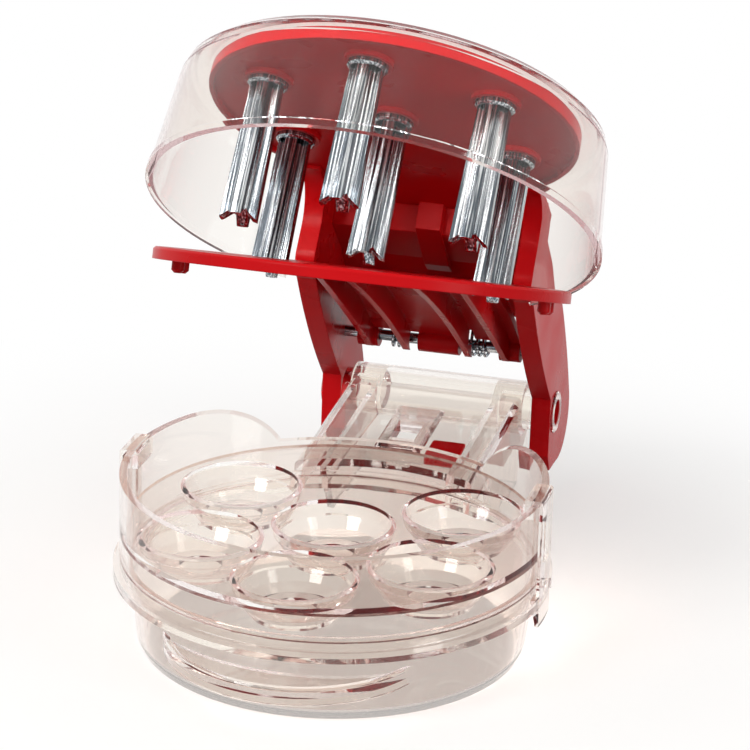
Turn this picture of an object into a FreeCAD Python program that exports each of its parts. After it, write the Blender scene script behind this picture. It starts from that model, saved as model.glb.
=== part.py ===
import FreeCAD, Part
import math
import os

# Cherry pitter with lever: a clear round base with six cups, a clear hinge housing behind it,
# a red lever with a steel rod for each cup, and a red stripper plate hinged in the lever.
# Millimetres. Origin on the table under the middle of the cups, +Z up, +Y to the hinge.
# The lever and the plate are drawn closed and then swung open, which is how the pitter rests.

V = FreeCAD.Vector
X_AXIS = V(1, 0, 0)
Z_AXIS = V(0, 0, 1)

# Tray that holds the cups
TRAY_R = 56.0
TRAY_WALL = 2.0
TRAY_WALL_TALL = 13.8
DECK_TOP_Z = 33.0
DECK_THICK = 1.6
TRAY_RIM_Z = DECK_TOP_Z + TRAY_WALL_TALL
LOW_BACK_RISE = 1.4
LOW_BACK_Z = DECK_TOP_Z + LOW_BACK_RISE
SHOULDER_R = 24.3
SHOULDER_INSET = 6.0
SHOULDER_SINK = 10.5
SHOULDER_Z = DECK_TOP_Z - SHOULDER_SINK

# Width over a rod's flutes, which the holes in the cups and in the plate clear
ROD_TOP_WIDTH = 8.8
ROD_TIP_WIDTH = 10.2
CUP_HOLE_GAP = 0.6
PLATE_HOLE_GAP = 1.8

# Cups: radius of each step from the floor up, and how far the deck's top lies above it
CUP_DEPTH = 8.8
CUP_FLOOR_Z = DECK_TOP_Z - CUP_DEPTH
CUP_FLOOR_R = 9.2
CUP_LOW_R = 12.3
CUP_LOW_DEPTH = 7.1
CUP_HIGH_R = 14.3
CUP_HIGH_DEPTH = 4.2
CUP_MOUTH_R = 15.3
CUP_HOLE_R = ROD_TIP_WIDTH / 2 + CUP_HOLE_GAP
CUP_WALL = 1.5
CUP_MARGIN = 3.3
CUP_PITCH = TRAY_R - TRAY_WALL - CUP_MOUTH_R - CUP_MARGIN

# Base ring under the tray
RING_BOTTOM_Z = 19.3
RING_WALL = 2.2
FLANGE_REACH = 1.7
FLANGE_THICK = 2.9
STEP_Z = 23.3
STEP_THICK = 1.4
STEP_DEPTH = 1.2

# Pit container
POT_INSET = 4.6
POT_WALL = 1.8
POT_FLOOR = 2.0
POT_EDGE = 2.6
POT_GAP = 0.35
LIP_R = 35.2
LIP_OUT = 9.0
LIP_Z = 12.0
LIP_THICK = 1.8
LIP_RIM_LOW = 1.7
LIP_RIM_HIGH = 1.4
LIP_RIM_WALL = 1.7
LIP_RIM_EDGE = 0.5

# Side clips
CLIP_WIDTH = 12.0
CLIP_THICK = 1.2
CLIP_LEG_THICK = 1.6
CLIP_GAP = 0.15
CLIP_TOP_THICK = 1.7
CLIP_INNER_LEG = 3.4
CLIP_HOOK = 1.6
CLIP_TAB = 4.2
CLIP_SLOT_WIDTH = 5.6
CLIP_SLOT_LOW_Z = 30.5
CLIP_SLOT_HIGH_Z = 42.0
CLIP_EYE_R = 1.3
CLIP_EYE_Z = 23.6
CLIP_NOTCH_GAP = 0.6

# Hinge
HINGE_BACK = 58.0
HINGE_Y = TRAY_R + HINGE_BACK
HINGE_Z = 25.5
BARREL_R = 8.0
STUD_R = 6.0
STUD_BORE_R = 3.7
STUD_REACH = 0.6
STUD_EDGE = 0.3
STUD_ROOT = 9.0
STUD_FLOOR = 2.0
RUN_GAP = 0.05
OPEN_ANGLE = 40.5

# Hinge housing
NECK_HALF = 25.5
NECK_ROOT = 16.0
NECK_WALL = 2.2
NECK_FRONT_Z = 27.4
NECK_CREASE = 7.0
NECK_REAR_Y = HINGE_Y - NECK_CREASE
NECK_REAR_Z = 31.0
FOOT_FRONT = 30.0
FOOT_REAR = 7.0
FOOT_FRONT_Y = HINGE_Y - FOOT_FRONT
FOOT_REAR_Y = HINGE_Y + FOOT_REAR
FOOT_RISE = 9.0
NECK_RIB_X = 18.0
NECK_RIB_THICK = 1.6
WINDOW_HALF_X = 6.7
WINDOW_HALF_Y = 13.2
WINDOW_BACK = 22.5
WINDOW_Y = TRAY_R + WINDOW_BACK
WINDOW_HOLE_HALF_X = 3.6
WINDOW_HOLE_HALF_Y = 5.8
WINDOW_HOLE_SHIFT = -3.0
WINDOW_RISE = 1.6
BLOCK_LOW_X = 7.4
BLOCK_HIGH_X = 16.8
BLOCK_LOW = 12.5
BLOCK_HIGH = 2.0
BLOCK_THICK = 3.4

# Lever: cheeks, back web and plunger disc
CHEEK_GAP = 2.9
CHEEK_INNER_X = NECK_HALF + CHEEK_GAP
CHEEK_THICK = 5.6
CHEEK_INSET = 4.2
CHEEK_FRONT_Y = TRAY_R - CHEEK_INSET
CHEEK_DEPTH = 12.7
CHEEK_BACK_Y = CHEEK_FRONT_Y + CHEEK_DEPTH
CHEEK_CORNER = 6.0
CHEEK_CORNER_Z = 37.0
CHEEK_FLARE = 12.5
CHEEK_FLARE_EDGE = 1.0
CHEEK_UNDER_BOW = 1.6
# Points round the cheek's tail, each by how far it lies back of the hinge and above it
TAIL_FRONT_BACK = -8.8
TAIL_FRONT_RISE = 0.4
TAIL_HEEL_BACK = 1.8
TAIL_HEEL_RISE = -13.3
TAIL_TIP_BACK = 7.0
TAIL_TIP_RISE = -15.6
TAIL_LOW_BACK = 14.6
TAIL_LOW_RISE = -9.6
TAIL_REAR_BACK = 20.6
TAIL_REAR_RISE = 0.2
TAIL_TOP_BACK = 15.4
TAIL_TOP_RISE = 11.6
TAIL_SHOULDER_BACK = -3.0
TAIL_SHOULDER_RISE = 21.2
DISC_LIFT = 30.5
DISC_UNDER_Z = DECK_TOP_Z + DISC_LIFT
ROOF_DROP = 6.7
ROOF_Z = DISC_UNDER_Z - ROOF_DROP
ROOF_BACK = 26.2
ROOF_Y = CHEEK_FRONT_Y + ROOF_BACK
ROOF_STEP = 1.5
ROOF_END_RISE = 12.1
WEB_THICK = 2.4
WEB_RIB_HALF = 3.6
WEB_RIB_DEPTH = 3.0
ROOF_RIB_DEPTH = 1.8
ROOF_RIB_BACK = 10.0
DISC_INSET = 6.0
DISC_R = TRAY_R - DISC_INSET
DISC_THICK = 2.1
DISC_BEAD = 1.3
DISC_TAB_FRONT = 36.0

# Splash cap: how far each step of its side stands inside or outside the tray's wall
CAP_TOP_INSET = 5.3
CAP_BREAK_INSET = 1.5
CAP_BREAK_DROP = 0.9
CAP_SIDE_REACH = 0.9
CAP_SIDE_DROP = 3.0
CAP_SHOULDER_REACH = 1.9
CAP_SHOULDER_DROP = 6.0
CAP_TOP_THICK = 1.9
CAP_WALL = 1.4
CAP_RIM_REACH = 4.4
CAP_RIM_LIFT = 0.4
CAP_RIM_Z = DECK_TOP_Z + CAP_RIM_LIFT
CAP_RIM_BEAD = 0.6
CAP_RIM_BEAD_TALL = 2.2
CAP_SLOT_GAP = 0.8

# Pitting rods: four flutes that widen a little towards the tip
ROD_BAR = 3.2
ROD_CORE_R = 2.9
ROD_TIP_Z = 23.0
ROD_CROWN = 2.6
ROD_CROWN_HALF = 2.5
ROD_CUP_WIDER = 0.9
ROD_CUP_TOP_R = 0.4
ROD_CUP_DEEP = 4.0
COLLAR_WALL = 1.0
ROD_COLLAR_R = ROD_TOP_WIDTH / 2 + COLLAR_WALL
ROD_COLLAR_TALL = 1.7
ROD_COLLAR_EDGE = 0.6
ROD_COLLAR_FIT = 0.02
COLLAR_SEAT_GAP = 0.05
BOSS_WALL = 1.2
BOSS_R = ROD_COLLAR_R + BOSS_WALL
BOSS_DEPTH = 1.4

# Stripper plate
PLATE_INSET = 1.0
PLATE_R = TRAY_R - PLATE_INSET
PLATE_DROP = 6.5
PLATE_TOP_Z = DISC_UNDER_Z - PLATE_DROP
PLATE_THICK = 2.0
PLATE_SKIRT = 3.2
PLATE_SKIRT_WALL = 1.8
PLATE_EDGE = 0.6
PLATE_HOLE_R = ROD_TIP_WIDTH / 2 + PLATE_HOLE_GAP
PLATE_HOLE_BACK = 1.0
PLATE_HOLE_LIP = 1.2
PLATE_HOLE_LIP_DEPTH = 1.0
PEG_INSET = 5.4
PEG_R = 1.7
PEG_GAP = 4.4
PEG_LENGTH = 3.4
PEG_EDGE = 0.8

# Tongue between the plate and its pin
PIN_FRONT = 14.0
PIN_DROP = 19.0
PIN_Y = HINGE_Y - PIN_FRONT
PIN_Z = PLATE_TOP_Z - PIN_DROP
PIN_R = 1.6
PIN_SEAT = 3.0
SAG_ANGLE = 21.0
TONGUE_HALF = 24.0
TONGUE_THICK = 2.2
TONGUE_INSET = 10.0
TONGUE_FRONT_Y = TRAY_R - TONGUE_INSET
TONGUE_MID_FRONT = 25.0
TONGUE_MID_DROP = 6.2
TONGUE_TAIL = 1.0
TONGUE_TAIL_LEAN = 0.9
TONGUE_RIB_NEAR_X = 9.2
TONGUE_RIB_FAR_X = 20.2
TONGUE_RIB_THICK = 1.8
TONGUE_RIB_NEAR_REACH = 47.0
TONGUE_RIB_FAR_REACH = 31.0
TONGUE_RIB_MID_FRONT = 34.0
TONGUE_RIB_MID_RISE = 6.0
TONGUE_RIB_TAIL = 3.0
KNUCKLE_R = 3.5
KNUCKLE_OUT_X = 24.0
KNUCKLE_IN_X = 18.0
KNUCKLE_MID_HALF = 6.0

# Torsion springs on the pin
SPRING_WIRE = 0.9
SPRING_MEAN_R = 2.75
SPRING_TURNS = 3
SPRING_PITCH = 1.8
SPRING_ROOF_LEG = 11.2
SPRING_ROOF_LEG_ANGLE = 105.0
SPRING_TONGUE_LEG = 10.0
SPRING_TONGUE_LEG_ANGLE = 143.0
SPRING_SLOT = 2.2
SPRING_CLEAR = 0.5
SPRING_SLOT_REACH = 8.5
SPRING_X = 12.0


def cylinder(radius, low_z, high_z, x=0.0, y=0.0):
    return Part.makeCylinder(radius, high_z - low_z, V(x, y, low_z))


def bar_x(radius, low_x, high_x, y, z):
    """A cylinder along X through (y, z)."""
    return Part.makeCylinder(radius, high_x - low_x, V(low_x, y, z), X_AXIS)


def box(low, high):
    return Part.makeBox(high[0] - low[0], high[1] - low[1], high[2] - low[2], V(*low))


def mirrored_x(shape):
    return shape.mirror(V(0, 0, 0), X_AXIS)


def line(a, b):
    return Part.LineSegment(V(*a), V(*b)).toShape()


def arc(a, middle, b):
    return Part.Arc(V(*a), V(*middle), V(*b)).toShape()


def turned(edges):
    """A solid of revolution about Z from a closed outline in the XZ plane."""
    return Part.Face(Part.Wire(edges)).revolve(V(0, 0, 0), Z_AXIS, 360)


def along_x(edges, low_x, high_x):
    """A closed outline in the plane x = 0, drawn out along X."""
    solid = Part.Face(Part.Wire(edges)).extrude(V(high_x - low_x, 0, 0))
    solid.translate(V(low_x, 0, 0))
    return solid


def outline_yz(points):
    corners = [(0, y, z) for y, z in points]
    return [line(corners[i - 1], corners[i]) for i in range(len(corners))]


def outline_xz(points):
    corners = [(x, 0, z) for x, z in points]
    return [line(corners[i - 1], corners[i]) for i in range(len(corners))]


def opened(shape):
    """Swings a piece of the lever from closed to open."""
    turned_shape = shape.copy()
    turned_shape.rotate(V(0, HINGE_Y, HINGE_Z), X_AXIS, -OPEN_ANGLE)
    return turned_shape


def sagged(shape):
    """Lets a piece of the stripper hang from its pin, then swings it open with the lever."""
    turned_shape = shape.copy()
    turned_shape.rotate(V(0, PIN_Y, PIN_Z), X_AXIS, SAG_ANGLE)
    return opened(turned_shape)


def stations():
    """Names and places of the six cups: the middle one and five of the six round it."""
    places = [("center", 0.0, 0.0)]
    around = (("front", -90), ("front_right", -30), ("back_right", 30),
              ("back_left", 150), ("front_left", 210))
    for name, angle in around:
        a = math.radians(angle)
        places.append((name, CUP_PITCH * math.cos(a), CUP_PITCH * math.sin(a)))
    return places


def cup_hollow():
    """The hollow of one cup at the origin, in three slopes."""
    return turned(outline_xz([
        (0, CUP_FLOOR_Z), (CUP_FLOOR_R, CUP_FLOOR_Z), (CUP_LOW_R, DECK_TOP_Z - CUP_LOW_DEPTH),
        (CUP_HIGH_R, DECK_TOP_Z - CUP_HIGH_DEPTH), (CUP_MOUTH_R, DECK_TOP_Z), (0, DECK_TOP_Z)]))


def cup_bowl():
    """The outside of one cup at the origin, in two slopes."""
    low = CUP_FLOOR_Z - CUP_WALL
    middle_z = DECK_TOP_Z - CUP_HIGH_DEPTH
    return turned(outline_xz([
        (0, low), (CUP_LOW_R - CUP_WALL * 0.6, low), (CUP_HIGH_R + CUP_WALL, middle_z),
        (CUP_MOUTH_R + CUP_WALL, DECK_TOP_Z), (0, DECK_TOP_Z)]))


def low_back_cutter():
    """What is taken off the back of the tray wall, with its two round shoulders left standing."""
    top = TRAY_RIM_Z + 1
    shoulder_x = TRAY_R - SHOULDER_INSET
    block = box((-shoulder_x, 0, LOW_BACK_Z), (shoulder_x, TRAY_R + 1, top))
    for side in (-1, 1):
        place = V(side * shoulder_x, -0.5, SHOULDER_Z)
        shoulder = Part.makeCylinder(SHOULDER_R, TRAY_R + 2, place, V(0, 1, 0))
        block = block.cut(shoulder)
    return block


def cherry_tray():
    inner_r = TRAY_R - TRAY_WALL
    deck_low = DECK_TOP_Z - DECK_THICK
    wall = cylinder(TRAY_R, deck_low, TRAY_RIM_Z).cut(cylinder(inner_r, DECK_TOP_Z, TRAY_RIM_Z))
    wall = wall.cut(low_back_cutter())
    places = stations()
    for name, x, y in places:
        bowl = cup_bowl()
        bowl.translate(V(x, y, 0))
        wall = wall.fuse(bowl)
    for name, x, y in places:
        hollow = cup_hollow()
        hollow.translate(V(x, y, 0))
        wall = wall.cut(hollow)
        wall = wall.cut(cylinder(CUP_HOLE_R, CUP_FLOOR_Z - CUP_WALL - 1, CUP_FLOOR_Z + 1, x, y))
    return wall


def base_ring():
    """The ring that the tray stands on, with a flange below and a stop for the container inside."""
    top = DECK_TOP_Z - DECK_THICK
    inner_r = TRAY_R - RING_WALL
    flange_top = RING_BOTTOM_Z + FLANGE_THICK
    stop_r = inner_r - STEP_DEPTH
    stop_top = STEP_Z + STEP_THICK
    flange_r = TRAY_R + FLANGE_REACH
    ring = turned(outline_xz([
        (inner_r, RING_BOTTOM_Z), (flange_r, RING_BOTTOM_Z), (flange_r, flange_top), (TRAY_R, flange_top),
        (TRAY_R, top), (inner_r, top), (inner_r, stop_top), (stop_r, stop_top), (stop_r, STEP_Z),
        (inner_r, STEP_Z)]))
    half = CLIP_WIDTH / 2 + CLIP_NOTCH_GAP
    for side in (-1, 1):
        low_x = min(side * TRAY_R, side * (flange_r + 1))
        high_x = max(side * TRAY_R, side * (flange_r + 1))
        ring = ring.cut(box((low_x, -half, RING_BOTTOM_Z - 1), (high_x, half, flange_top + 1)))
    return ring


def pit_container():
    """The round pot under the ring, with a crescent finger lip that has a rim all round."""
    top_r = TRAY_R - RING_WALL - POT_GAP
    bottom_r = TRAY_R - POT_INSET
    body = turned(outline_xz([
        (0, 0), (bottom_r - POT_EDGE, 0), (bottom_r - POT_EDGE * 0.3, POT_EDGE * 0.3), (bottom_r, POT_EDGE),
        (top_r, RING_BOTTOM_Z), (top_r, STEP_Z), (0, STEP_Z)]))
    lip_y = LIP_R - LIP_OUT - TRAY_R
    low = LIP_Z - LIP_RIM_LOW
    high = LIP_Z + LIP_THICK + LIP_RIM_HIGH
    lip = cylinder(LIP_R, low, high, 0, lip_y)
    lip = lip.makeChamfer(LIP_RIM_EDGE, [e for e in lip.Edges if e.BoundBox.ZLength < 0.01])
    for from_z, to_z in ((low - 1, LIP_Z), (LIP_Z + LIP_THICK, high + 1)):
        lip = lip.cut(cylinder(LIP_R - LIP_RIM_WALL, from_z, to_z, 0, lip_y))
    body = body.fuse(lip)
    hollow = turned(outline_xz([
        (0, POT_FLOOR), (bottom_r - POT_WALL - 1, POT_FLOOR), (bottom_r - POT_WALL, POT_FLOOR + 1),
        (top_r - POT_WALL, RING_BOTTOM_Z), (top_r - POT_WALL, STEP_Z), (0, STEP_Z)]))
    return body.cut(hollow)


def side_clip():
    """The right clip: it hooks over the tray's rim and under the ring, with a slot between."""
    inner_x = TRAY_R + CLIP_GAP
    outer_x = inner_x + CLIP_THICK
    leg_outer = math.sqrt((TRAY_R - TRAY_WALL) ** 2 - (CLIP_WIDTH / 2) ** 2) - CLIP_GAP
    leg_inner = leg_outer - CLIP_LEG_THICK
    top = TRAY_RIM_Z + CLIP_TOP_THICK
    hook_low = RING_BOTTOM_Z - CLIP_HOOK
    tab_low = hook_low - CLIP_TAB
    hook_x = TRAY_R - RING_WALL + 0.9
    points = [
        (inner_x, RING_BOTTOM_Z), (inner_x, TRAY_RIM_Z), (leg_outer, TRAY_RIM_Z),
        (leg_outer, TRAY_RIM_Z - CLIP_INNER_LEG), (leg_inner, TRAY_RIM_Z - CLIP_INNER_LEG),
        (leg_inner, top - 0.8), (leg_inner + 0.8, top), (outer_x - 0.8, top), (outer_x, top - 0.8),
        (outer_x, tab_low), (outer_x - CLIP_THICK, tab_low), (hook_x + 0.6, hook_low),
        (hook_x, hook_low + 0.6), (hook_x, RING_BOTTOM_Z)]
    half = CLIP_WIDTH / 2
    clip = Part.Face(Part.Wire(outline_xz(points))).extrude(V(0, CLIP_WIDTH, 0))
    clip.translate(V(0, -half, 0))
    clip = clip.common(cylinder(outer_x, tab_low - 1, top + 1))
    slot_half = CLIP_SLOT_WIDTH / 2
    slot = box((inner_x - 1, -slot_half, CLIP_SLOT_LOW_Z), (outer_x + 1, slot_half, CLIP_SLOT_HIGH_Z))
    clip = clip.cut(slot)
    clip = clip.cut(bar_x(CLIP_EYE_R, inner_x - 1, outer_x + 1, 0, CLIP_EYE_Z))
    return clip


def neck_slope():
    return math.degrees(math.atan2(NECK_REAR_Z - NECK_FRONT_Z, NECK_REAR_Y - TRAY_R))


def neck_top_z(y):
    return NECK_REAR_Z - (NECK_REAR_Y - y) * math.tan(math.radians(neck_slope()))


def neck_outline(inset):
    """Side outline of the hinge housing, drawn in by inset on its outer walls."""
    front_y = TRAY_R - NECK_ROOT
    top_front = (front_y, neck_top_z(front_y) - inset)
    top_rear = (NECK_REAR_Y, NECK_REAR_Z - inset)
    low = -1.0 if inset > 0 else 0.0
    belly = RING_BOTTOM_Z if inset == 0 else low
    rear_low = (FOOT_REAR_Y - inset, low)
    rear_high = (FOOT_REAR_Y - inset, HINGE_Z)
    points = [top_front, top_rear, (HINGE_Y, NECK_REAR_Z - inset), rear_high, rear_low]
    if inset == 0:
        points += [(FOOT_FRONT_Y, 0.0), (FOOT_FRONT_Y - FOOT_RISE, belly), (front_y, belly)]
    else:
        points += [(front_y, low)]
    return outline_yz(points)


def neck_housing():
    """A clear box from the base ring to the hinge barrel, open below, with a foot on the table."""
    shell = along_x(neck_outline(0), -NECK_HALF, NECK_HALF)
    upper = [e for e in shell.Edges if e.BoundBox.XLength < 0.01 and e.BoundBox.ZMin > NECK_FRONT_Z - 2]
    shell = shell.makeFillet(NECK_WALL * 0.7, upper)
    shell = shell.fuse(bar_x(BARREL_R, -NECK_HALF, NECK_HALF, HINGE_Y, HINGE_Z))
    hollow = along_x(neck_outline(NECK_WALL), -NECK_HALF + NECK_WALL, NECK_HALF - NECK_WALL)
    hollow = hollow.cut(bar_x(BARREL_R, -NECK_HALF, NECK_HALF, HINGE_Y, HINGE_Z))
    shell = shell.cut(hollow)
    for side in (-1, 1):
        low_x = side * NECK_RIB_X - NECK_RIB_THICK / 2
        rib = along_x(neck_outline(0), low_x, low_x + NECK_RIB_THICK)
        rib = rib.cut(box((low_x - 1, 0, -2), (low_x + 4, HINGE_Y + 20, RING_BOTTOM_Z)))
        rib = rib.cut(bar_x(BARREL_R - 1, low_x - 1, low_x + 4, HINGE_Y, HINGE_Z))
        shell = shell.fuse(rib)
    shell = shell.cut(cylinder(TRAY_R, -2, NECK_REAR_Z + 9))
    flange = cylinder(TRAY_R + FLANGE_REACH, RING_BOTTOM_Z - 1, RING_BOTTOM_Z + FLANGE_THICK)
    shell = shell.cut(flange)
    shell = shell.cut(bar_x(STUD_R, -NECK_HALF - 1, NECK_HALF + 1, HINGE_Y, HINGE_Z))
    return shell.cut(window_hole()).removeSplitter()


def on_slope(shape):
    """Moves a piece drawn at the origin onto the housing's sloped top, at the window."""
    placed = shape.copy()
    placed.rotate(V(0, 0, 0), X_AXIS, neck_slope())
    placed.translate(V(0, WINDOW_Y, neck_top_z(WINDOW_Y)))
    return placed


def window_hole():
    low_y = WINDOW_HOLE_SHIFT - WINDOW_HOLE_HALF_Y
    high_y = WINDOW_HOLE_SHIFT + WINDOW_HOLE_HALF_Y
    return on_slope(box((-WINDOW_HOLE_HALF_X, low_y, -NECK_WALL - 2), (WINDOW_HOLE_HALF_X, high_y, 3)))


def window_frame():
    frame = box((-WINDOW_HALF_X, -WINDOW_HALF_Y, 0), (WINDOW_HALF_X, WINDOW_HALF_Y, WINDOW_RISE))
    upper = [e for e in frame.Edges if e.BoundBox.ZMin > WINDOW_RISE - 0.1]
    frame = frame.makeChamfer(WINDOW_RISE * 0.55, upper)
    return on_slope(frame).cut(window_hole())


def stop_block():
    """The red block under the housing's top, beside the window."""
    block = box((BLOCK_LOW_X, -BLOCK_LOW, -NECK_WALL - BLOCK_THICK),
                (BLOCK_HIGH_X, -BLOCK_HIGH, -NECK_WALL))
    block = block.makeFillet(0.9, [e for e in block.Edges if e.BoundBox.ZLength > BLOCK_THICK - 0.1])
    return on_slope(block)


def hinge_stud():
    """The right stud: a clear tube in the barrel that carries one cheek."""
    outer_x = CHEEK_INNER_X + CHEEK_THICK + STUD_REACH
    inner_x = NECK_HALF - STUD_ROOT
    stud = bar_x(STUD_R, inner_x, outer_x, HINGE_Y, HINGE_Z)
    stud = stud.makeChamfer(STUD_EDGE, [e for e in stud.Edges if e.BoundBox.XMin > outer_x - 0.1])
    bore = bar_x(STUD_BORE_R, inner_x + STUD_FLOOR, outer_x + 1, HINGE_Y, HINGE_Z)
    return stud.cut(bore)


def from_hinge(back, rise):
    """A point back of and above the hinge, in the lever's side view."""
    return (0, HINGE_Y + back, HINGE_Z + rise)


def bowed(a, b, bow):
    """A shallow arc in the side view from a to b, bowed by bow to the left of the way."""
    length = math.hypot(b[1] - a[1], b[2] - a[2])
    middle_y = (a[1] + b[1]) / 2 - (b[2] - a[2]) / length * bow
    middle_z = (a[2] + b[2]) / 2 + (b[1] - a[1]) / length * bow
    return arc(a, (0, middle_y, middle_z), b)


def cheek_outline():
    """Side outline of one cheek, closed: upright under the disc, then back and down to a hooked tail."""
    flare_y = CHEEK_FRONT_Y - CHEEK_FLARE
    flare_top = DISC_UNDER_Z - CHEEK_FLARE_EDGE
    flare_z = flare_top - CHEEK_FLARE
    half_turn = 1 - math.sqrt(0.5)
    step = (0, CHEEK_BACK_Y, ROOF_Z + ROOF_STEP)
    roof = (0, ROOF_Y, ROOF_Z)
    front = from_hinge(TAIL_FRONT_BACK, TAIL_FRONT_RISE)
    heel = from_hinge(TAIL_HEEL_BACK, TAIL_HEEL_RISE)
    tip = from_hinge(TAIL_TIP_BACK, TAIL_TIP_RISE)
    low = from_hinge(TAIL_LOW_BACK, TAIL_LOW_RISE)
    rear = from_hinge(TAIL_REAR_BACK, TAIL_REAR_RISE)
    top = from_hinge(TAIL_TOP_BACK, TAIL_TOP_RISE)
    shoulder = from_hinge(TAIL_SHOULDER_BACK, TAIL_SHOULDER_RISE)
    corner_low = (0, CHEEK_FRONT_Y + CHEEK_CORNER, CHEEK_CORNER_Z)
    corner_mid = (0, CHEEK_FRONT_Y + CHEEK_CORNER * half_turn, CHEEK_CORNER_Z + CHEEK_CORNER * half_turn)
    corner_high = (0, CHEEK_FRONT_Y, CHEEK_CORNER_Z + CHEEK_CORNER)
    flare_mid = (0, CHEEK_FRONT_Y - CHEEK_FLARE * half_turn, flare_top - CHEEK_FLARE * half_turn)
    return [
        line((0, flare_y, DISC_UNDER_Z), (0, CHEEK_BACK_Y - ROOF_STEP, DISC_UNDER_Z)),
        line((0, CHEEK_BACK_Y - ROOF_STEP, DISC_UNDER_Z), step),
        line(step, roof),
        arc(roof, shoulder, top),
        arc(top, rear, low),
        line(low, tip),
        line(tip, heel),
        line(heel, front),
        bowed(front, corner_low, CHEEK_UNDER_BOW),
        arc(corner_low, corner_mid, corner_high),
        line(corner_high, (0, CHEEK_FRONT_Y, flare_z)),
        arc((0, CHEEK_FRONT_Y, flare_z), flare_mid, (0, flare_y, flare_top)),
        line((0, flare_y, flare_top), (0, flare_y, DISC_UNDER_Z))]


def lever_cheek():
    """The right cheek of the lever."""
    outer_x = CHEEK_INNER_X + CHEEK_THICK
    cheek = along_x(cheek_outline(), CHEEK_INNER_X, outer_x)
    cheek = cheek.cut(bar_x(STUD_R + RUN_GAP, CHEEK_INNER_X - 1, outer_x + 1, HINGE_Y, HINGE_Z))
    return cheek.cut(bar_x(PIN_R, CHEEK_INNER_X - 1, CHEEK_INNER_X + PIN_SEAT, PIN_Y, PIN_Z))


def back_web():
    """The wall and roof that join the cheeks, with a rib down the middle of both."""
    wall_back = CHEEK_BACK_Y
    wall_front = CHEEK_BACK_Y - WEB_THICK
    step_z = ROOF_Z + ROOF_STEP
    end_y = PIN_Y
    end_z = PIN_Z + ROOF_END_RISE
    under_end = (end_y - WEB_THICK / 3, end_z - WEB_THICK)
    under_roof = (ROOF_Y - WEB_THICK / 5, ROOF_Z - WEB_THICK)
    under_wall = (wall_front, step_z - WEB_THICK)
    web = along_x(outline_yz([
        (wall_front - ROOF_STEP, DISC_UNDER_Z), (wall_back - ROOF_STEP, DISC_UNDER_Z), (wall_back, step_z),
        (ROOF_Y, ROOF_Z), (end_y, end_z), under_end, under_roof, under_wall]), -CHEEK_INNER_X, CHEEK_INNER_X)
    rib = along_x(outline_yz([
        (wall_front - ROOF_STEP - WEB_RIB_DEPTH, DISC_UNDER_Z), (wall_front, DISC_UNDER_Z),
        (under_wall[0] + WEB_THICK / 2, under_wall[1] + WEB_THICK / 2),
        (under_roof[0], under_roof[1] + WEB_THICK / 2),
        (under_roof[0] + ROOF_RIB_BACK, under_roof[1] - WEB_THICK / 2),
        (under_roof[0], under_roof[1] - ROOF_RIB_DEPTH),
        (under_wall[0] - WEB_RIB_DEPTH, under_wall[1])]), -WEB_RIB_HALF, WEB_RIB_HALF)
    return web.fuse(rib).removeSplitter()


def plunger_disc():
    """The red disc that carries the rods, with a tab over the cheeks and a bead round its edge."""
    top = DISC_UNDER_Z + DISC_THICK
    half = CHEEK_INNER_X + CHEEK_THICK
    disc = cylinder(DISC_R, DISC_UNDER_Z, top)
    tab_front = CHEEK_BACK_Y - DISC_TAB_FRONT
    tab = box((-half, tab_front, DISC_UNDER_Z), (half, CHEEK_BACK_Y - ROOF_STEP, top))
    disc = disc.fuse(tab).removeSplitter()
    bead = cylinder(DISC_R, DISC_UNDER_Z - DISC_BEAD, DISC_UNDER_Z)
    bead = bead.cut(cylinder(DISC_R - DISC_BEAD, DISC_UNDER_Z - DISC_BEAD, DISC_UNDER_Z))
    bead = bead.cut(box((-half, tab_front, DISC_UNDER_Z - DISC_BEAD), (half, CHEEK_BACK_Y, DISC_UNDER_Z)))
    disc = disc.fuse(bead)
    for name, x, y in stations():
        disc = disc.fuse(cylinder(BOSS_R, DISC_UNDER_Z - BOSS_DEPTH, DISC_UNDER_Z, x, y))
    for name, x, y in stations():
        disc = disc.cut(cylinder(ROD_COLLAR_R, DISC_UNDER_Z - BOSS_DEPTH - 1, DISC_UNDER_Z, x, y))
    return disc.removeSplitter()


def splash_cap():
    """The clear cap over the disc, open below and cut away behind for the cheeks."""
    top = DISC_UNDER_Z + DISC_THICK + CAP_TOP_THICK
    under = top - CAP_TOP_THICK
    side = [
        (TRAY_R - CAP_TOP_INSET, top),
        (TRAY_R - CAP_BREAK_INSET, top - CAP_BREAK_DROP),
        (TRAY_R + CAP_SIDE_REACH, top - CAP_SIDE_DROP),
        (TRAY_R + CAP_SHOULDER_REACH, top - CAP_SHOULDER_DROP)]
    rim_r = TRAY_R + CAP_RIM_REACH
    bead_r = rim_r + CAP_RIM_BEAD
    bead_top = CAP_RIM_Z + CAP_RIM_BEAD_TALL
    rim = [
        (rim_r, bead_top), (bead_r, bead_top - CAP_RIM_BEAD),
        (bead_r, CAP_RIM_Z), (rim_r - CAP_WALL, CAP_RIM_Z)]
    inner = [
        (side[3][0] - CAP_WALL, side[3][1]), (side[2][0] - CAP_WALL, side[2][1] - CAP_WALL / 4),
        (side[1][0] - CAP_WALL / 2, under - CAP_BREAK_DROP / 2), (side[0][0], under)]
    cap = turned(outline_xz([(0, top)] + side + rim + inner + [(0, under)]))
    half = CHEEK_INNER_X + CHEEK_THICK + CAP_SLOT_GAP
    return cap.cut(box((-half, CHEEK_FRONT_Y - DISC_TAB_FRONT, CAP_RIM_Z - 1), (half, TRAY_R + 20, under)))


def rod_radius(z):
    """Half the width over the flutes at height z."""
    share = (DISC_UNDER_Z - z) / (DISC_UNDER_Z - ROD_TIP_Z)
    return (ROD_TOP_WIDTH + (ROD_TIP_WIDTH - ROD_TOP_WIDTH) * share) / 2


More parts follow.
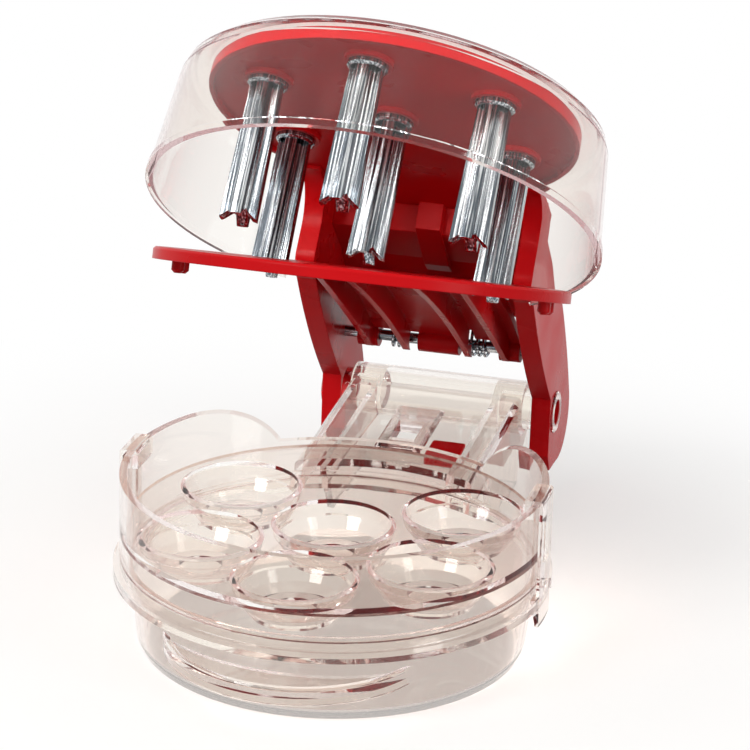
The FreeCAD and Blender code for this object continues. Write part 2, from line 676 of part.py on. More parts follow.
def pitting_rod():
    """A four-fluted rod at the origin, with a crown of points at its tip."""
    low = ROD_TIP_Z
    high = DISC_UNDER_Z
    half = ROD_TIP_WIDTH / 2
    bar = ROD_BAR / 2
    rod = box((-half, -bar, low), (half, bar, high)).fuse(box((-bar, -half, low), (bar, half, high)))
    rod = rod.common(Part.makeCone(rod_radius(low), rod_radius(high), high - low, V(0, 0, low), Z_AXIS))
    rod = rod.fuse(cylinder(ROD_CORE_R, low, high)).removeSplitter()
    cup = Part.makeCone(ROD_CORE_R + ROD_CUP_WIDER, ROD_CUP_TOP_R, ROD_CUP_DEEP, V(0, 0, low), Z_AXIS)
    rod = rod.cut(cup)
    for k in range(4):
        groove = outline_xz([
            (-ROD_CROWN_HALF, low - 0.2), (ROD_CROWN_HALF, low - 0.2), (0, low + ROD_CROWN)])
        cutter = Part.Face(Part.Wire(groove)).extrude(V(0, 2 * half + 2, 0))
        cutter.translate(V(0, -half - 1, 0))
        cutter.rotate(V(0, 0, 0), Z_AXIS, 45 + 90 * k)
        rod = rod.cut(cutter)
    return rod


def rod_collar():
    """The steel collar between a rod and its boss, at the origin."""
    low = DISC_UNDER_Z - ROD_COLLAR_TALL - BOSS_DEPTH
    ring = cylinder(ROD_COLLAR_R - COLLAR_SEAT_GAP, low, DISC_UNDER_Z)
    ring = ring.makeChamfer(ROD_COLLAR_EDGE, [e for e in ring.Edges if e.BoundBox.ZMax < low + 0.1])
    return ring.cut(cylinder(rod_radius(low) + ROD_COLLAR_FIT, low - 1, DISC_UNDER_Z + 1))


def stripper_plate():
    """The red plate that holds the fruit down, with a skirt and a lipped hole for each rod."""
    under = PLATE_TOP_Z - PLATE_THICK
    skirt_low = PLATE_TOP_Z - PLATE_SKIRT
    plate = cylinder(PLATE_R, skirt_low, PLATE_TOP_Z)
    plate = plate.makeChamfer(PLATE_EDGE, [e for e in plate.Edges if e.BoundBox.ZMin > PLATE_TOP_Z - 0.1])
    plate = plate.cut(cylinder(PLATE_R - PLATE_SKIRT_WALL, skirt_low, under))
    lip_low = under - PLATE_HOLE_LIP_DEPTH
    for name, x, y in stations():
        plate = plate.fuse(cylinder(PLATE_HOLE_R + PLATE_HOLE_LIP, lip_low, under, x, y + PLATE_HOLE_BACK))
    for name, x, y in stations():
        plate = plate.cut(cylinder(PLATE_HOLE_R, skirt_low, PLATE_TOP_Z + 1, x, y + PLATE_HOLE_BACK))
    notch = box((-TONGUE_HALF, TONGUE_FRONT_Y, skirt_low - 1), (TONGUE_HALF, PLATE_R + 1, PLATE_TOP_Z + 1))
    return plate.cut(notch).removeSplitter()


def plate_peg():
    """The pair of short pegs under the right end of the plate, on one foot."""
    under = PLATE_TOP_Z - PLATE_THICK
    foot = PLATE_TOP_Z - PLATE_SKIRT
    low = foot - PEG_LENGTH
    peg_x = PLATE_R - PEG_INSET
    peg = box((peg_x - PEG_R, -PEG_GAP / 2 - PEG_R, foot), (peg_x + PEG_R, PEG_GAP / 2 + PEG_R, under))
    for side in (-1, 1):
        post = cylinder(PEG_R, low, foot, peg_x, side * PEG_GAP / 2)
        post = post.makeChamfer(PEG_EDGE, [e for e in post.Edges if e.BoundBox.ZMax < low + 0.1])
        peg = peg.fuse(post)
    return peg.removeSplitter()


def tongue():
    """Joins the plate to its pin: a sloping wall, four ribs that deepen to the rear, and knuckles."""
    top = PLATE_TOP_Z
    under = top - PLATE_THICK
    wall_top = (0, PIN_Y - TONGUE_TAIL, PIN_Z + KNUCKLE_R)
    wall_end = (0, wall_top[1] - TONGUE_TAIL_LEAN, wall_top[2] - TONGUE_THICK)
    wall_front = (0, TONGUE_FRONT_Y, top)
    wall_front_low = (0, TONGUE_FRONT_Y, under)
    middle = (0, PIN_Y - TONGUE_MID_FRONT, top - TONGUE_MID_DROP)
    middle_under = (0, middle[1], middle[2] - TONGUE_THICK)
    body = along_x([
        line(wall_front_low, wall_front), arc(wall_front, middle, wall_top),
        line(wall_top, wall_end), arc(wall_end, middle_under, wall_front_low)],
        -TONGUE_HALF, TONGUE_HALF)
    rib_top = (0, wall_top[1], wall_top[2] - TONGUE_THICK / 2)
    rib_middle = (0, middle[1], middle[2] - TONGUE_THICK / 2)
    heel = (0, PIN_Y, PIN_Z - KNUCKLE_R)
    toe = (0, PIN_Y - TONGUE_RIB_TAIL, PIN_Z - KNUCKLE_R)
    rib_low = (0, PIN_Y - TONGUE_RIB_MID_FRONT, PIN_Z + TONGUE_RIB_MID_RISE)
    ribs = ((TONGUE_RIB_NEAR_X, TONGUE_RIB_NEAR_REACH), (TONGUE_RIB_FAR_X, TONGUE_RIB_FAR_REACH))
    for rib_x, reach in ribs:
        rib_tip = (0, TRAY_R - reach, under)
        for side in (-1, 1):
            low_x = side * rib_x - TONGUE_RIB_THICK / 2
            body = body.fuse(along_x([
                line(rib_tip, wall_front_low), arc(wall_front_low, rib_middle, rib_top), line(rib_top, heel),
                line(heel, toe), arc(toe, rib_low, rib_tip)], low_x, low_x + TONGUE_RIB_THICK))
    for low_x, high_x in knuckles():
        body = body.fuse(bar_x(KNUCKLE_R, low_x, high_x, PIN_Y, PIN_Z))
    clear_r = SPRING_MEAN_R + SPRING_WIRE / 2 + SPRING_CLEAR
    for low_x, high_x in ((-KNUCKLE_IN_X, -KNUCKLE_MID_HALF), (KNUCKLE_MID_HALF, KNUCKLE_IN_X)):
        body = body.cut(bar_x(clear_r, low_x, high_x, PIN_Y, PIN_Z))
    for side in (-1, 1):
        slot_x = side * spring_slot_x()
        body = body.cut(box((slot_x - SPRING_SLOT / 2, PIN_Y - SPRING_SLOT_REACH, PIN_Z),
                            (slot_x + SPRING_SLOT / 2, PIN_Y, PIN_Z + SPRING_ROOF_LEG)))
    body = body.cut(bar_x(PIN_R + RUN_GAP, -KNUCKLE_OUT_X - 1, KNUCKLE_OUT_X + 1, PIN_Y, PIN_Z))
    return body.removeSplitter()


def knuckles():
    """From where to where along X each knuckle of the tongue runs."""
    return (
        (-KNUCKLE_OUT_X, -KNUCKLE_IN_X),
        (-KNUCKLE_MID_HALF, KNUCKLE_MID_HALF),
        (KNUCKLE_IN_X, KNUCKLE_OUT_X))


def plate_pin():
    reach = CHEEK_INNER_X + PIN_SEAT
    return bar_x(PIN_R, -reach, reach, PIN_Y, PIN_Z)


def spring_angles():
    """Start and end angle of the coil, from the directions its two legs point in."""
    start = math.radians(90 + SPRING_ROOF_LEG_ANGLE)
    end = math.radians(SPRING_TONGUE_LEG_ANGLE - 90 + 360 * SPRING_TURNS)
    return start, end


def coil_point(angle, start, end):
    half = SPRING_PITCH * (end - start) / (4 * math.pi)
    x = -half + SPRING_PITCH * (angle - start) / (2 * math.pi)
    return V(x, SPRING_MEAN_R * math.cos(angle), SPRING_MEAN_R * math.sin(angle))


def spring_points():
    """Points along the coil, sixteen to a turn."""
    start, end = spring_angles()
    count = int((end - start) / (2 * math.pi) * 16)
    return [coil_point(start + (end - start) * i / count, start, end) for i in range(count + 1)]


def least_gap(points, wire):
    """The smallest space between turns of a wire, leaving out neighbours along it."""
    least = 1e9
    for i in range(len(points)):
        for j in range(i + 9, len(points)):
            least = min(least, (points[i] - points[j]).Length)
    return least - wire


def torsion_spring():
    """A coil about X at the origin: one leg reaches up to the roof, the other forward over the tongue."""
    start, end = spring_angles()
    count = int((end - start) / math.pi) + 1
    step = (end - start) / count
    edges = []
    for i in range(count):
        a = start + step * i
        ends = [coil_point(a + step * part, start, end) for part in (0, 0.5, 1)]
        edges.append(Part.Arc(*ends).toShape())
    roof_way = V(0, math.sin(start), -math.cos(start))
    tongue_way = V(0, -math.sin(end), math.cos(end))
    first = coil_point(start, start, end)
    last = coil_point(end, start, end)
    roof_end = first + roof_way * SPRING_ROOF_LEG
    tongue_end = last + tongue_way * SPRING_TONGUE_LEG
    edges.insert(0, Part.LineSegment(roof_end, first).toShape())
    edges.append(Part.LineSegment(last, tongue_end).toShape())
    section = Part.Wire([Part.Circle(roof_end, roof_way, SPRING_WIRE / 2).toShape()])
    return Part.Wire(edges).makePipeShell([section], True, False)


def spring_slot_x():
    """How far the roof leg of the right spring lies from the middle."""
    start, end = spring_angles()
    return SPRING_X + coil_point(start, start, end).x


def placed_spring():
    spring = torsion_spring()
    spring.translate(V(SPRING_X, PIN_Y, PIN_Z))
    return spring


def pair(name, right):
    return [(name + "_right", right), (name + "_left", mirrored_x(right))]


def fixed_pieces():
    pieces = [
        ("base_ring", base_ring()), ("cherry_tray", cherry_tray()), ("hinge_housing", neck_housing()),
        ("window_frame", window_frame()), ("stop_block", stop_block()), ("pit_container", pit_container())]
    pieces += pair("side_clip", side_clip())
    pieces += pair("hinge_stud", hinge_stud())
    return pieces


def lever_pieces():
    pieces = [
        ("plunger_disc", plunger_disc()), ("back_web", back_web()),
        ("splash_cap", splash_cap()), ("plate_pin", plate_pin())]
    pieces += pair("lever_cheek", lever_cheek())
    pieces += pair("torsion_spring", placed_spring())
    rod = pitting_rod()
    collar = rod_collar()
    for name, x, y in stations():
        for kind, shape in (("pitting_rod_", rod), ("rod_collar_", collar)):
            placed = shape.copy()
            placed.translate(V(x, y, 0))
            pieces.append((kind + name, placed))
    return [(name, opened(shape)) for name, shape in pieces]


def stripper_pieces():
    pieces = [("stripper_plate", stripper_plate()), ("stripper_tongue", tongue())]
    pieces += pair("plate_peg", plate_peg())
    return [(name, sagged(shape)) for name, shape in pieces]


def main():
    os.makedirs("parts", exist_ok=True)
    for name, shape in fixed_pieces() + lever_pieces() + stripper_pieces():
        shape.exportStep("parts/" + name + ".step")
        print(name, "solids", len(shape.Solids), "valid", shape.isValid(), "volume", round(shape.Volume, 1))
    print("least gap in a spring", round(least_gap(spring_points(), SPRING_WIRE), 2))


main()
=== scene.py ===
"""Looks, light and camera for a hand cherry pitter with a lever."""

import math

import bpy
from mathutils import Matrix, Vector

bl_info = {
    "name": "Cherry pitter looks",
    "version": (1, 0, 0),
    "blender": (4, 5, 0),
    "location": "View3D > Sidebar > Pitter",
    "description": "Gives the solids of a cherry pitter their finishes and sets up a small studio",
    "category": "Object",
}

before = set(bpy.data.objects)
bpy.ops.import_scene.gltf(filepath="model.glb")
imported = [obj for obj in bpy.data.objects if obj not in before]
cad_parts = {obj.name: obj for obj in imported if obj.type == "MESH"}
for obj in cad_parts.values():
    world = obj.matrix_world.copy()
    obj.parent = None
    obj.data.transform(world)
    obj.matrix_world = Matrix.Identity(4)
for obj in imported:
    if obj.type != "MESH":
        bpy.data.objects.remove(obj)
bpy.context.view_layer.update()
MM = 0.001
WHITE = (1, 1, 1, 1)

BASE_NODES = ("base_ring", "cherry_tray", "side_clip_left", "side_clip_right")
HOUSING_NODES = ("hinge_housing", "window_frame", "hinge_stud_left", "hinge_stud_right")
LEVER_NODES = ("plunger_disc", "back_web", "lever_cheek_left", "lever_cheek_right")
STRIPPER_NODES = ("stripper_plate", "stripper_tongue", "plate_peg_left", "plate_peg_right")
PIN_NODES = ("plate_pin", "torsion_spring_left", "torsion_spring_right")
STATIONS = ("center", "front", "front_left", "front_right", "back_left", "back_right")
ROD_NODES = tuple(
    kind + station for station in STATIONS for kind in ("pitting_rod_", "rod_collar_"))

# How far the rods lean with the lever open
LEVER_LEAN = math.radians(40.5)

# How the pattern of drawn lines is squeezed, which makes it long along the rods and along the pin
ROD_STRETCH = (1, 1, 0.012)
PIN_STRETCH = (0.05, 1, 1)

# A ray that has met more faces than this, or was mirrored more often, goes straight on.
# The renderer would drop it soon after and leave a black line.
MOST_FACES = 8.5
MOST_MIRRORINGS = 2.5

# The camera, from a fit to the object's own edges in the photograph
VIEW_AZIMUTH = math.radians(14.94)
VIEW_ELEVATION = math.radians(20.962)
VIEW_ROLL = math.radians(1.361)
VIEW_CENTRE_MM = (8.822, 0, 75.256)
VIEW_DISTANCE_MM = 933.995
VIEW_SHIFT_X = 0.00715
SENSOR_MM = 36.0

# Where the lamps stand and the point they are turned to, in metres
KEY_PLACE, KEY_SIZE = (-0.55, -0.75, 0.95), (0.5, 0.5)
FILL_PLACE, FILL_SIZE = (0.9, -0.35, 0.45), (0.3, 0.8)
LAMP_AIM = (0, 0.02, 0.08)

# The floor's edge length and the offset of its fade, in metres. Up to the first distance
# the board shows most, and past the second one it is plain white.
FLOOR_SIZE = 6.0
FLOOR_OFFSET = (0, -0.03, 0)
SHADOW_MM, WHITE_MM = 70, 220


def linear(hex_colour):
    """An sRGB hex colour as linear RGBA."""
    srgb = [int(hex_colour[i:i + 2], 16) / 255 for i in (1, 3, 5)]
    rgb = [c / 12.92 if c <= 0.04045 else ((c + 0.055) / 1.055) ** 2.4 for c in srgb]
    return (*rgb, 1.0)


class ClearPlasticSettings(bpy.types.PropertyGroup):
    """Moulded clear plastic of base, container and cap"""
    tint: bpy.props.FloatVectorProperty(
        name="Tint", description="Colour that light takes on at each face",
        subtype="COLOR", size=4, min=0, max=1, default=linear("#FEFCF8"))
    edge_tint: bpy.props.FloatVectorProperty(
        name="Edge tint", description="Colour that light takes on at a face seen edge-on",
        subtype="COLOR", size=4, min=0, max=1, default=linear("#D8C6C2"))
    edge: bpy.props.FloatProperty(
        name="Edge", description="How soon a face turned away takes the edge tint",
        default=0.18, min=0, max=1, subtype="FACTOR")
    led_tint: bpy.props.FloatVectorProperty(
        name="Led light",
        description="Colour that light led round inside a wall of the base takes on at each face",
        subtype="COLOR", size=4, min=0, max=1, default=linear("#FAF3F2"))
    # Painted reflection: the cap's led light is tinted mauve, which paints in the red that its
    # walls reflect from the disc.
    cap_painted_red_reflection: bpy.props.FloatVectorProperty(
        name="Led light in the cap",
        description="The same in the cap, whose walls pick up red from the disc",
        subtype="COLOR", size=4, min=0, max=1, default=linear("#D6BABC"))
    through: bpy.props.FloatVectorProperty(
        name="Shadow tint", description="Colour of light that passes on into the shadow",
        subtype="COLOR", size=4, min=0, max=1, default=linear("#FAF5F3"))
    roughness: bpy.props.FloatProperty(
        name="Roughness", description="Polish of the mould",
        default=0.03, min=0, max=1, subtype="FACTOR")
    wave_mm: bpy.props.FloatProperty(
        name="Wave", description="Length of the shallow waves that moulding leaves, in mm",
        default=14.0, min=1)
    scuff_mm: bpy.props.FloatProperty(
        name="Scuffs", description="Spacing of hairline scuffs, in mm", default=1.1, min=0.1)


class RedPlasticSettings(bpy.types.PropertyGroup):
    """Moulded red plastic of lever, plate and stop block"""
    colour: bpy.props.FloatVectorProperty(
        name="Colour", description="Colour of the plastic",
        subtype="COLOR", size=4, min=0, max=1, default=linear("#BE0D13"))
    roughness: bpy.props.FloatProperty(
        name="Roughness", description="Gloss of the mould",
        default=0.3, min=0, max=1, subtype="FACTOR")
    peel_mm: bpy.props.FloatProperty(
        name="Orange peel", description="Size of the fine skin texture, in mm",
        default=0.9, min=0.1)
    cloud_mm: bpy.props.FloatProperty(
        name="Clouds", description="Size of the faint clouds in the colour, in mm",
        default=22.0, min=1)
    edge_mm: bpy.props.FloatProperty(
        name="Edge", description="Radius of the moulded edges, in mm", default=0.45, min=0)


class SteelSettings(bpy.types.PropertyGroup):
    """Stainless steel of rods, pin and springs"""
    colour: bpy.props.FloatVectorProperty(
        name="Colour", description="Colour of the polished metal",
        subtype="COLOR", size=4, min=0, max=1, default=linear("#D3D8DC"))
    # Painted reflection: this dark line colour stands in for the dark streaks that the polished
    # rods mirror.
    painted_reflection_streak_colour: bpy.props.FloatVectorProperty(
        name="Line colour", description="Colour of the duller drawn lines",
        subtype="COLOR", size=4, min=0, max=1, default=linear("#5E666E"))
    roughness: bpy.props.FloatProperty(
        name="Roughness", description="Polish of the rods",
        default=0.16, min=0, max=1, subtype="FACTOR")
    draw_line_mm: bpy.props.FloatProperty(
        name="Draw lines", description="Spacing of the lines that drawing leaves, in mm",
        default=0.5, min=0.05)
    edge_mm: bpy.props.FloatProperty(
        name="Edge", description="Radius of the rounded edges, in mm", default=0.2, min=0)


class StudioSettings(bpy.types.PropertyGroup):
    """Floor, lamps, room and lens"""
    bounce: bpy.props.FloatVectorProperty(
        name="Bounce", description="Colour of the board as the object's undersides see it",
        subtype="COLOR", size=4, min=0, max=1, default=linear("#8A8583"))
    floor: bpy.props.FloatVectorProperty(
        name="Floor", description="Colour of the floor",
        subtype="COLOR", size=4, min=0, max=1, default=linear("#F4F2EF"))
    world: bpy.props.FloatProperty(
        name="World light", description="Strength of the even light", default=0.6, min=0)
    key_w: bpy.props.FloatProperty(
        name="Key light", description="Power of the main light",
        default=10.5, min=0, unit="POWER")
    fill_w: bpy.props.FloatProperty(
        name="Fill light", description="Power of the second light",
        default=4.0, min=0, unit="POWER")
    focal_mm: bpy.props.FloatProperty(
        name="Lens", description="Focal length on a 36 mm sensor, in mm", default=174.4, min=1)


def node(tree, kind, values=None, links=None, **options):
    """Adds a node; values and links are keyed by input name or number."""
    added = tree.nodes.new(kind)
    for key, value in options.items():
        setattr(added, key, value)
    for key, value in (values or {}).items():
        added.inputs[key].default_value = value
    for key, source in (links or {}).items():
        tree.links.new(source, added.inputs[key])
    return added


def blank(name):
    """A new material with no nodes, and its node tree."""
    material = bpy.data.materials.new(name)
    material.use_nodes = True
    material.node_tree.nodes.clear()
    return material, material.node_tree


def clear_plastic(name, led_tint):
    """Moulded SAN: water-clear with a faint warm tint, glass-smooth, with shallow waves."""
    s = bpy.context.scene.clear_plastic
    material, tree = blank(name)
    place = node(tree, "ShaderNodeTexCoord")
    wave = node(tree, "ShaderNodeTexNoise", {"Scale": 1 / (s.wave_mm * MM), "Detail": 1.0},
                {"Vector": place.outputs["Object"]})
    scuff = node(tree, "ShaderNodeTexNoise",
                 {"Scale": 1 / (s.scuff_mm * MM), "Detail": 4.0, "Roughness": 0.7},
                 {"Vector": place.outputs["Object"]})
    # A few scuffs catch the light; most of the face stays polished. Real ones are hairlines,
    # so they are drawn about a millimetre apart to show.
    gloss = node(tree, "ShaderNodeMapRange",
                 {"From Min": 0.62, "From Max": 0.8,
                  "To Min": s.roughness, "To Max": s.roughness + 0.1},
                 {"Value": scuff.outputs["Fac"]})
    bump = node(tree, "ShaderNodeBump", {"Strength": 0.25, "Distance": 0.35 * MM},
                {"Height": wave.outputs["Fac"]})
    # Seen edge-on, light has more plastic to cross and takes on more of its tint.
    slant = node(tree, "ShaderNodeLayerWeight", {"Blend": s.edge})
    tint = node(tree, "ShaderNodeMix", {"A": s.tint, "B": s.edge_tint},
                {"Factor": slant.outputs["Facing"]}, data_type="RGBA")
    # SAN has an IOR of 1.57. It is lower here, because real walls this thin hardly bend the view.
    plastic = node(tree, "ShaderNodeBsdfPrincipled",
                   {"Transmission Weight": 1.0, "IOR": 1.25,
                    "Coat Weight": 0.3, "Coat Roughness": 0.03},
                   {"Base Color": tint.outputs["Result"], "Roughness": gloss.outputs["Result"],
                    "Normal": bump.outputs["Normal"]})
    # Light that was mirrored round inside a wall, or has met many faces, passes straight on.
    path = node(tree, "ShaderNodeLightPath")
    deep = node(tree, "ShaderNodeMath", {1: MOST_FACES}, {0: path.outputs["Ray Depth"]},
                operation="GREATER_THAN")
    led = node(tree, "ShaderNodeMath", {1: MOST_MIRRORINGS}, {0: path.outputs["Glossy Depth"]},
               operation="GREATER_THAN")
    straight = node(tree, "ShaderNodeMath", None,
                    {0: deep.outputs["Value"], 1: led.outputs["Value"]}, operation="MAXIMUM")
    # For the cap, led_tint carries a mauve painted reflection of the red disc.
    led_light = node(tree, "ShaderNodeBsdfTransparent", {"Color": led_tint})
    body = node(tree, "ShaderNodeMixShader", None,
                {"Fac": straight.outputs["Value"], 1: plastic.outputs["BSDF"],
                 2: led_light.outputs["BSDF"]})
    # Lamps shine through, so the shadow stays pale.
    lamp_light = node(tree, "ShaderNodeBsdfTransparent", {"Color": s.through})
    mix = node(tree, "ShaderNodeMixShader", None,
               {"Fac": path.outputs["Is Shadow Ray"], 1: body.outputs["Shader"],
                2: lamp_light.outputs["BSDF"]})
    node(tree, "ShaderNodeOutputMaterial", None, {"Surface": mix.outputs["Shader"]})
    return material


def red_plastic():
    """Moulded red ABS: satin, with a fine orange peel, faint clouds and softly rounded edges."""
    s = bpy.context.scene.red_plastic
    material, tree = blank("moulded_red_abs")
    place = node(tree, "ShaderNodeTexCoord")
    peel = node(tree, "ShaderNodeTexNoise", {"Scale": 1 / (s.peel_mm * MM), "Detail": 2.0},
                {"Vector": place.outputs["Object"]})
    cloud = node(tree, "ShaderNodeTexNoise", {"Scale": 1 / (s.cloud_mm * MM), "Detail": 3.0},
                 {"Vector": place.outputs["Object"]})
    value = node(tree, "ShaderNodeMapRange",
                 {"From Min": 0.3, "From Max": 0.7, "To Min": 0.93, "To Max": 1.05},
                 {"Value": cloud.outputs["Fac"]})
    tone = node(tree, "ShaderNodeHueSaturation", {"Color": s.colour},
                {"Value": value.outputs["Result"]})
    gloss = node(tree, "ShaderNodeMapRange",
                 {"From Min": 0.35, "From Max": 0.75,
                  "To Min": s.roughness - 0.05, "To Max": s.roughness + 0.1},
                 {"Value": cloud.outputs["Fac"]})
    edge = node(tree, "ShaderNodeBevel", {"Radius": s.edge_mm * MM}, samples=6)
    bump = node(tree, "ShaderNodeBump", {"Strength": 0.06, "Distance": 0.05 * MM},
                {"Height": peel.outputs["Fac"], "Normal": edge.outputs["Normal"]})
    # The satin skin mirrors less than polished ABS would.
    plastic = node(tree, "ShaderNodeBsdfPrincipled", {"IOR": 1.5, "Specular IOR Level": 0.07},
                   {"Base Color": tone.outputs["Color"], "Roughness": gloss.outputs["Result"],
                    "Normal": bump.outputs["Normal"]})
    node(tree, "ShaderNodeOutputMaterial", None, {"Surface": plastic.outputs["BSDF"]})
    return material


def drawn_steel(name, lean, stretch):
    """Drawn and polished stainless steel: bright, with fine lines along the rod.

    Real draw lines are too fine to show, so these are about half a millimetre apart.
    """
    s = bpy.context.scene.steel
    material, tree = blank(name)
    place = node(tree, "ShaderNodeTexCoord")
    turn = node(tree, "ShaderNodeMapping", {"Rotation": (lean, 0, 0)},
                {"Vector": place.outputs["Object"]})
    squeeze = node(tree, "ShaderNodeMapping", {"Scale": stretch},
                   {"Vector": turn.outputs["Vector"]})
    lines = node(tree, "ShaderNodeTexNoise",
                 {"Scale": 1 / (s.draw_line_mm * MM), "Detail": 3.0, "Roughness": 0.6},
                 {"Vector": squeeze.outputs["Vector"]})
    gloss = node(tree, "ShaderNodeMapRange",
                 {"From Min": 0.3, "From Max": 0.7,
                  "To Min": s.roughness - 0.06, "To Max": s.roughness + 0.12},
                 {"Value": lines.outputs["Fac"]})
    edge = node(tree, "ShaderNodeBevel", {"Radius": s.edge_mm * MM}, samples=4)
    bump = node(tree, "ShaderNodeBump", {"Strength": 0.2, "Distance": 0.06 * MM},
                {"Height": lines.outputs["Fac"], "Normal": edge.outputs["Normal"]})
    # Drawing leaves dull grey lines between the polished ones.
    # The dull grey lines follow the real draw lines, but their dark colour is painted reflection:
    # it stands in for the dark streaks that polished steel mirrors.
    painted_streak_mask = node(tree, "ShaderNodeMapRange", {"From Min": 0.45, "From Max": 0.6},
                  {"Value": lines.outputs["Fac"]})
    shade = node(tree, "ShaderNodeMix", {"A": s.painted_reflection_streak_colour, "B": s.colour},
                 {"Factor": painted_streak_mask.outputs["Result"]}, data_type="RGBA")
    metal = node(tree, "ShaderNodeBsdfPrincipled", {"Metallic": 1.0},
                 {"Base Color": shade.outputs["Result"], "Roughness": gloss.outputs["Result"],
                  "Normal": bump.outputs["Normal"]})
    node(tree, "ShaderNodeOutputMaterial", None, {"Surface": metal.outputs["BSDF"]})
    return material


def finish_nodes(names, material):
    """Puts one material on CAD nodes."""
    for name in names:
        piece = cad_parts[name]
        piece.data.materials.clear()
        piece.data.materials.append(material)


class PITTER_OT_clear_parts(bpy.types.Operator):
    """Clear base, tray, clips, container, hinge housing and splash cap"""
    bl_idname = "pitter.clear_parts"
    bl_label = "Clear plastic parts"

    def execute(self, context):
        s = context.scene.clear_plastic
        base = clear_plastic("moulded_clear_san", s.led_tint)
        finish_nodes(BASE_NODES + HOUSING_NODES + ("pit_container",), base)
        # The cap gets its own copy of the clear plastic, with a painted reflection of the red disc
        # in its led light.
        cap = clear_plastic("moulded_clear_san_cap_painted_red_reflection", s.cap_painted_red_reflection)
        finish_nodes(("splash_cap",), cap)
        return {"FINISHED"}


class PITTER_OT_red_parts(bpy.types.Operator):
    """Red lever, stripper plate and stop block"""
    bl_idname = "pitter.red_parts"
    bl_label = "Red plastic parts"

    def execute(self, context):
        material = red_plastic()
        finish_nodes(LEVER_NODES + STRIPPER_NODES + ("stop_block",), material)
        return {"FINISHED"}


class PITTER_OT_steel_parts(bpy.types.Operator):
    """Rods and collars, the pin and the two springs"""
    bl_idname = "pitter.steel_parts"
    bl_label = "Steel parts"

    def execute(self, context):
        rods = drawn_steel("drawn_stainless_rod", LEVER_LEAN, ROD_STRETCH)
        finish_nodes(ROD_NODES, rods)
        wire = drawn_steel("drawn_stainless_wire", 0.0, PIN_STRETCH)
        finish_nodes(PIN_NODES, wire)
        return {"FINISHED"}


def area_light(name, power, place, size):
    """A rectangular lamp turned to the object's middle."""
    data = bpy.data.lights.new(name, "AREA")
    data.energy = power
    data.shape = "RECTANGLE"
    data.size, data.size_y = size
    lamp = bpy.data.objects.new(name, data)
    bpy.context.scene.collection.objects.link(lamp)
    lamp.location = place
    lamp.rotation_euler = (Vector(LAMP_AIM) - Vector(place)).to_track_quat("-Z", "Y").to_euler()


def seen_white(tree):
    """1 where the eye meets the room, straight or by way of steel and clear plastic, else 0."""
    path = node(tree, "ShaderNodeLightPath")
    seen = node(tree, "ShaderNodeMath", None,
                {0: path.outputs["Is Camera Ray"], 1: path.outputs["Is Glossy Ray"]},
                operation="MAXIMUM")
    seen = node(tree, "ShaderNodeMath", None,
                {0: seen.outputs["Value"], 1: path.outputs["Is Transmission Ray"]},
                operation="MAXIMUM")
    # Past the first matt surface a ray only gathers the light that falls there.
    unlit = node(tree, "ShaderNodeMath", {1: 0.5}, {0: path.outputs["Diffuse Depth"]},
                 operation="LESS_THAN")
    return node(tree, "ShaderNodeMath", None, {0: seen.outputs["Value"], 1: unlit.outputs["Value"]},
                operation="MULTIPLY")


def floor_material():
    """Pale matt board: it keeps the soft shadow near the object and fades to white farther out."""
    s = bpy.context.scene.studio
    material, tree = blank("pale_matt_board")
    place = node(tree, "ShaderNodeTexCoord")
    middle = node(tree, "ShaderNodeMapping", {"Location": FLOOR_OFFSET},
                  {"Vector": place.outputs["Object"]})
    reach = node(tree, "ShaderNodeVectorMath", None, {0: middle.outputs["Vector"]},
                 operation="LENGTH")
    fade = node(tree, "ShaderNodeMapRange",
                {"From Min": SHADOW_MM * MM, "From Max": WHITE_MM * MM,
                 "To Min": 0.4, "To Max": 1.0},
                {"Value": reach.outputs["Value"]}, interpolation_type="SMOOTHSTEP")
    seen = seen_white(tree)
    board = node(tree, "ShaderNodeBsdfDiffuse", {"Color": s.floor})
    white = node(tree, "ShaderNodeEmission", {"Color": WHITE, "Strength": 1.0})
    shown = node(tree, "ShaderNodeMixShader", None,
                 {"Fac": fade.outputs["Result"], 1: board.outputs["BSDF"],
                  2: white.outputs["Emission"]})
    # The board gives back little light, so the undersides stay in shade.
    dim = node(tree, "ShaderNodeBsdfDiffuse", {"Color": s.bounce})
    mix = node(tree, "ShaderNodeMixShader", None,
               {"Fac": seen.outputs["Value"], 1: dim.outputs["BSDF"],
                2: shown.outputs["Shader"]})
    node(tree, "ShaderNodeOutputMaterial", None, {"Surface": mix.outputs["Shader"]})
    return material


def world_light():
    """An even soft light whose walls look white to the eye."""
    s = bpy.context.scene.studio
    world = bpy.data.worlds.new("soft_white_room")
    bpy.context.scene.world = world
    world.use_nodes = True
    tree = world.node_tree
    tree.nodes.clear()
    seen = seen_white(tree)
    even = node(tree, "ShaderNodeBackground", {"Color": WHITE, "Strength": s.world})
    white = node(tree, "ShaderNodeBackground", {"Color": WHITE, "Strength": 1.0})
    mix = node(tree, "ShaderNodeMixShader", None,
               {"Fac": seen.outputs["Value"], 1: even.outputs["Background"],
                2: white.outputs["Background"]})
    node(tree, "ShaderNodeOutputWorld", None, {"Surface": mix.outputs["Shader"]})


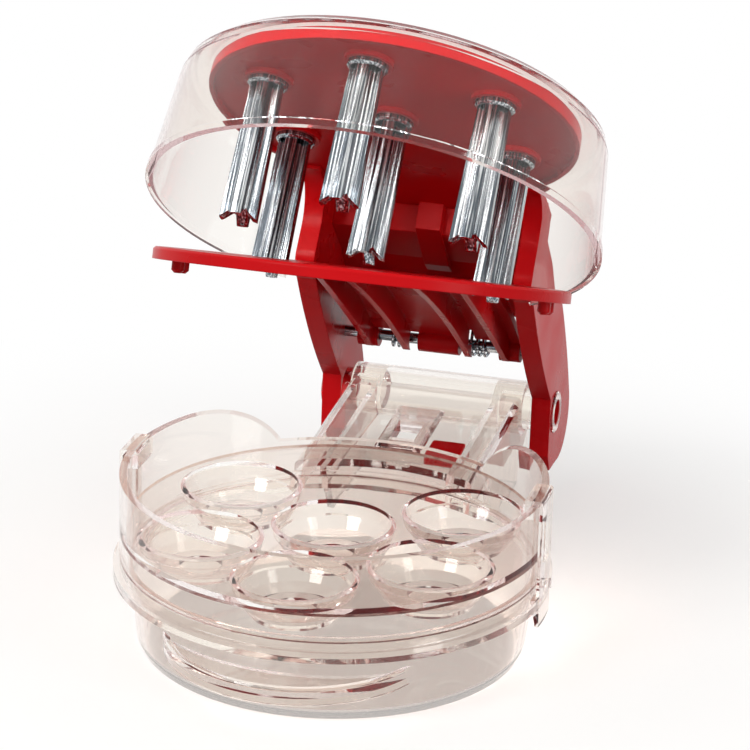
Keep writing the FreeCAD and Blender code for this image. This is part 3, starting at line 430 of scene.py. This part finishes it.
def photo_camera():
    """The camera at the photograph's angle."""
    forward = Vector((-math.sin(VIEW_AZIMUTH) * math.cos(VIEW_ELEVATION),
                      math.cos(VIEW_AZIMUTH) * math.cos(VIEW_ELEVATION),
                      -math.sin(VIEW_ELEVATION)))
    right = Vector((math.cos(VIEW_AZIMUTH), math.sin(VIEW_AZIMUTH), 0))
    up = right.cross(forward)
    across = right * math.cos(VIEW_ROLL) + up * math.sin(VIEW_ROLL)
    upward = up * math.cos(VIEW_ROLL) - right * math.sin(VIEW_ROLL)
    data = bpy.data.cameras.new("photo_camera")
    data.sensor_width = SENSOR_MM
    data.lens = bpy.context.scene.studio.focal_mm
    data.shift_x = VIEW_SHIFT_X
    data.clip_start = 0.01
    camera = bpy.data.objects.new("photo_camera", data)
    bpy.context.scene.collection.objects.link(camera)
    turn = Matrix((across, upward, -forward)).transposed().to_4x4()
    place = (Vector(VIEW_CENTRE_MM) - forward * VIEW_DISTANCE_MM) * MM
    camera.matrix_world = Matrix.Translation(place) @ turn
    bpy.context.scene.camera = camera


class PITTER_OT_studio(bpy.types.Operator):
    """Floor, lights, white room and the camera"""
    bl_idname = "pitter.studio"
    bl_label = "Studio"

    def execute(self, context):
        s = context.scene.studio
        bpy.ops.mesh.primitive_plane_add(size=FLOOR_SIZE, location=(0, 0, 0))
        floor = bpy.context.active_object
        floor.name = "floor"
        floor.data.materials.append(floor_material())
        area_light("key_light", s.key_w, KEY_PLACE, KEY_SIZE)
        area_light("fill_light", s.fill_w, FILL_PLACE, FILL_SIZE)
        world_light()
        photo_camera()
        context.scene.view_settings.view_transform = "Standard"
        return {"FINISHED"}


class PITTER_PT_panel(bpy.types.Panel):
    """Lists the pitter's settings and steps"""
    bl_label = "Cherry pitter"
    bl_idname = "PITTER_PT_panel"
    bl_space_type = "VIEW_3D"
    bl_region_type = "UI"
    bl_category = "Pitter"

    def draw(self, context):
        layout = self.layout
        for group in GROUPS:
            settings = getattr(context.scene, group)
            box = layout.box()
            for key in settings.bl_rna.properties.keys():
                if key not in {"rna_type", "name"}:
                    box.prop(settings, key)
        for operator in STEPS:
            layout.operator(operator.bl_idname)


GROUPS = {
    "clear_plastic": ClearPlasticSettings,
    "red_plastic": RedPlasticSettings,
    "steel": SteelSettings,
    "studio": StudioSettings,
}
STEPS = (PITTER_OT_clear_parts, PITTER_OT_red_parts, PITTER_OT_steel_parts, PITTER_OT_studio)


def register():
    """Adds the settings to the scene, and the operators and the panel."""
    for name, group in GROUPS.items():
        bpy.utils.register_class(group)
        setattr(bpy.types.Scene, name, bpy.props.PointerProperty(type=group))
    for cls in STEPS + (PITTER_PT_panel,):
        bpy.utils.register_class(cls)


def unregister():
    """Takes away what register added."""
    for cls in STEPS + (PITTER_PT_panel,):
        bpy.utils.unregister_class(cls)
    for name, group in GROUPS.items():
        delattr(bpy.types.Scene, name)
        bpy.utils.unregister_class(group)


def main():
    """Runs every step in order."""
    register()
    bpy.ops.pitter.clear_parts()
    bpy.ops.pitter.red_parts()
    bpy.ops.pitter.steel_parts()
    bpy.ops.pitter.studio()


if __name__ == "__main__":
    main()
